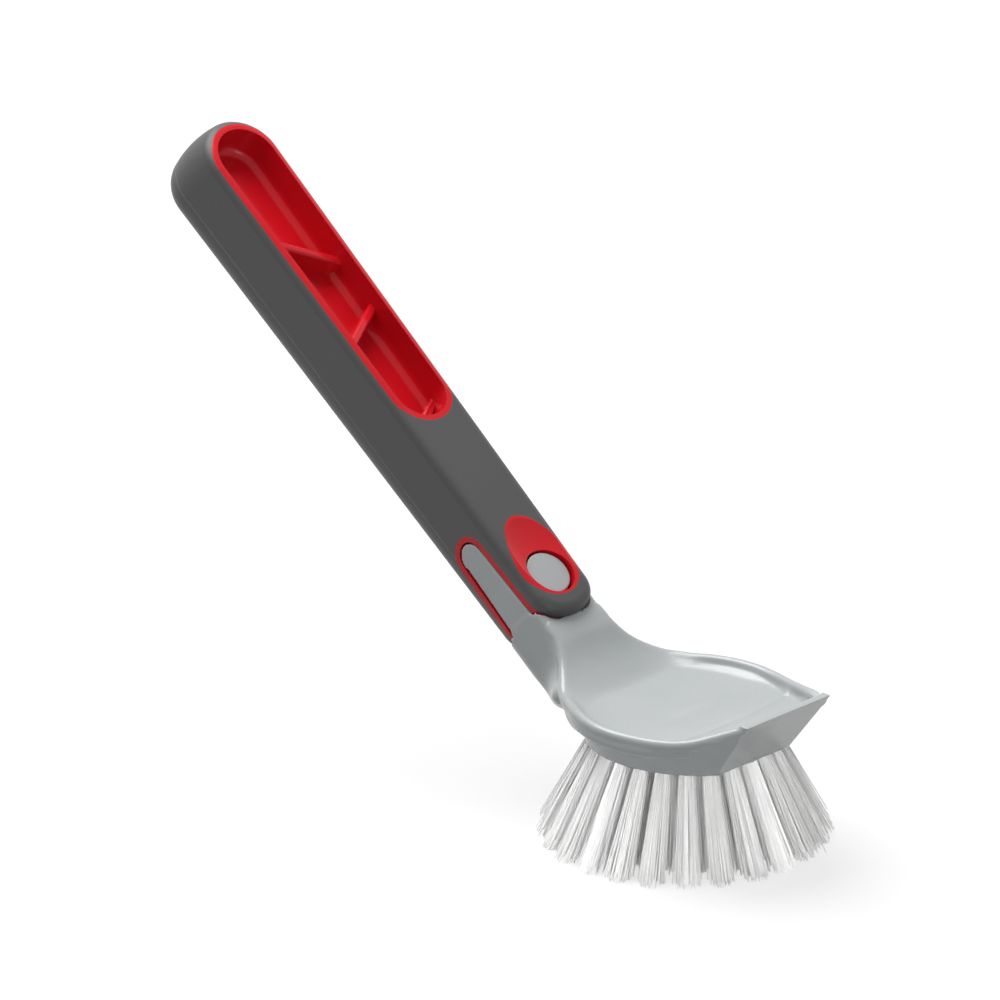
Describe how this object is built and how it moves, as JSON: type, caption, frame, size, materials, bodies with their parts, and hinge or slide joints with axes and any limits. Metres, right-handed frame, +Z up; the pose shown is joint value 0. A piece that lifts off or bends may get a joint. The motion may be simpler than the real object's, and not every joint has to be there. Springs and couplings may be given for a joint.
{
  "type": "dish brush",
  "caption": "Dish brush with a round dished head, splayed nylon tufts, a scraper lip and a pull-off handle with a soft grip, an open pocket and a release button.",
  "frame": {"origin": "centre of the bristle tips' plane, under the middle of the head", "axes": "+X towards the scraper lip, +Z up away from the tips, the handle rising towards -X"},
  "size_m": [0.2352, 0.0804, 0.1616],
  "materials": {
    "grey_gloss_plastic": "gloss",
    "grey_button_plastic": "satin",
    "white_nylon": "drawn filament",
    "anchor_steel": "plain wire",
    "red_gloss_plastic": "gloss",
    "dark_grey_rubber": "matte"
  },
  "bodies": {
    "head": {"head_body": "grey_gloss_plastic", "bristles_outer": "white_nylon", "bristles_second": "white_nylon", "bristles_third": "white_nylon", "bristles_inner": "white_nylon", "tuft_anchors": "anchor_steel"},
    "latch": {"latch_button": "grey_button_plastic"},
    "handle": {"handle_core": "red_gloss_plastic", "handle_grip": "dark_grey_rubber"}
  },
  "joints": [
    {"name": "button_press", "type": "hinge", "parent": "head", "child": "latch", "pos_m": [-0.07722, 0, 0.07569], "axis": [0, 1, 0], "range_deg": [0, 6.4], "stiffness_Nm_per_rad": 0.25, "springref_deg": -3.44},
    {"name": "handle_pull_off", "type": "slide", "parent": "head", "child": "handle", "axis": [-0.7934, 0, 0.6088], "range_m": [0, 0.06], "deforming": ["latch_button"]}
  ]
}
